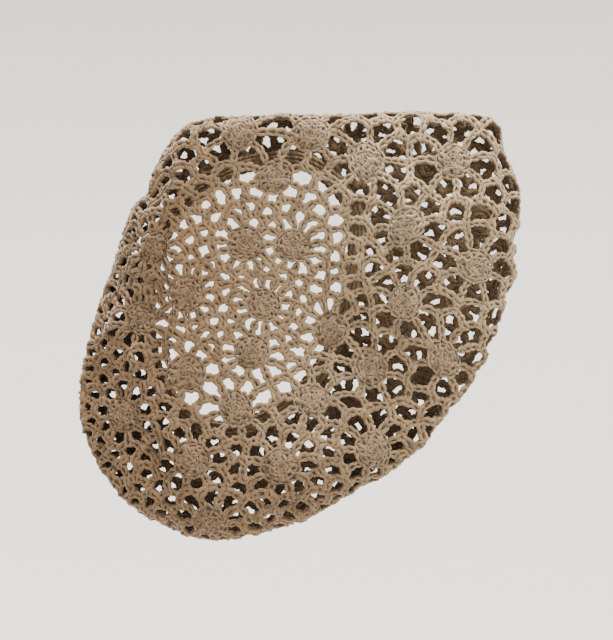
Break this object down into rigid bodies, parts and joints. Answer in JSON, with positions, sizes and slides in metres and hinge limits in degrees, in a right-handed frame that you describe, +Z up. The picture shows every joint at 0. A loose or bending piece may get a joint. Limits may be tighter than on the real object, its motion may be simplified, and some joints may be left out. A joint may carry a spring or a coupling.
{
  "type": "crochet beret",
  "caption": "Limp openwork crochet beret draped as it hangs by its edge: net crown with round rosettes, net side turned under, dense band round the head opening.",
  "frame": {"origin": "the hang point, on the underside of the fold along the beret's top edge", "axes": "+X to the right across the crown as it is looked at, +Y to the back, through the crown towards the head opening, +Z up"},
  "size_m": [0.2911, 0.0813, 0.2813],
  "materials": {
    "yarn": "soft greige yarn in chain stitch, matt with a light fuzz",
    "band_yarn": "the same yarn in dense single crochet, matt",
    "rosette_yarn": "the same yarn in radial double crochet, matt"
  },
  "bodies": {
    "root": {"crown_net": "yarn", "side_net": "yarn", "head_band": "band_yarn", "rosette_01": "rosette_yarn", "rosette_02": "rosette_yarn", "rosette_03": "rosette_yarn", "rosette_04": "rosette_yarn", "rosette_05": "rosette_yarn", "rosette_06": "rosette_yarn", "rosette_07": "rosette_yarn", "rosette_08": "rosette_yarn", "rosette_09": "rosette_yarn", "rosette_10": "rosette_yarn", "rosette_11": "rosette_yarn", "rosette_12": "rosette_yarn", "rosette_13": "rosette_yarn", "rosette_14": "rosette_yarn", "rosette_15": "rosette_yarn", "rosette_16": "rosette_yarn", "rosette_17": "rosette_yarn", "rosette_18": "rosette_yarn", "rosette_19": "rosette_yarn", "rosette_20": "rosette_yarn", "rosette_21": "rosette_yarn", "rosette_22": "rosette_yarn", "rosette_23": "rosette_yarn", "rosette_24": "rosette_yarn", "rosette_25": "rosette_yarn", "rosette_26": "rosette_yarn", "rosette_27": "rosette_yarn", "rosette_28": "rosette_yarn", "rosette_29": "rosette_yarn", "rosette_30": "rosette_yarn", "rosette_31": "rosette_yarn", "rosette_32": "rosette_yarn", "rosette_33": "rosette_yarn", "rosette_34": "rosette_yarn", "rosette_35": "rosette_yarn", "rosette_36": "rosette_yarn", "rosette_37": "rosette_yarn"}
  },
  "joints": []
}
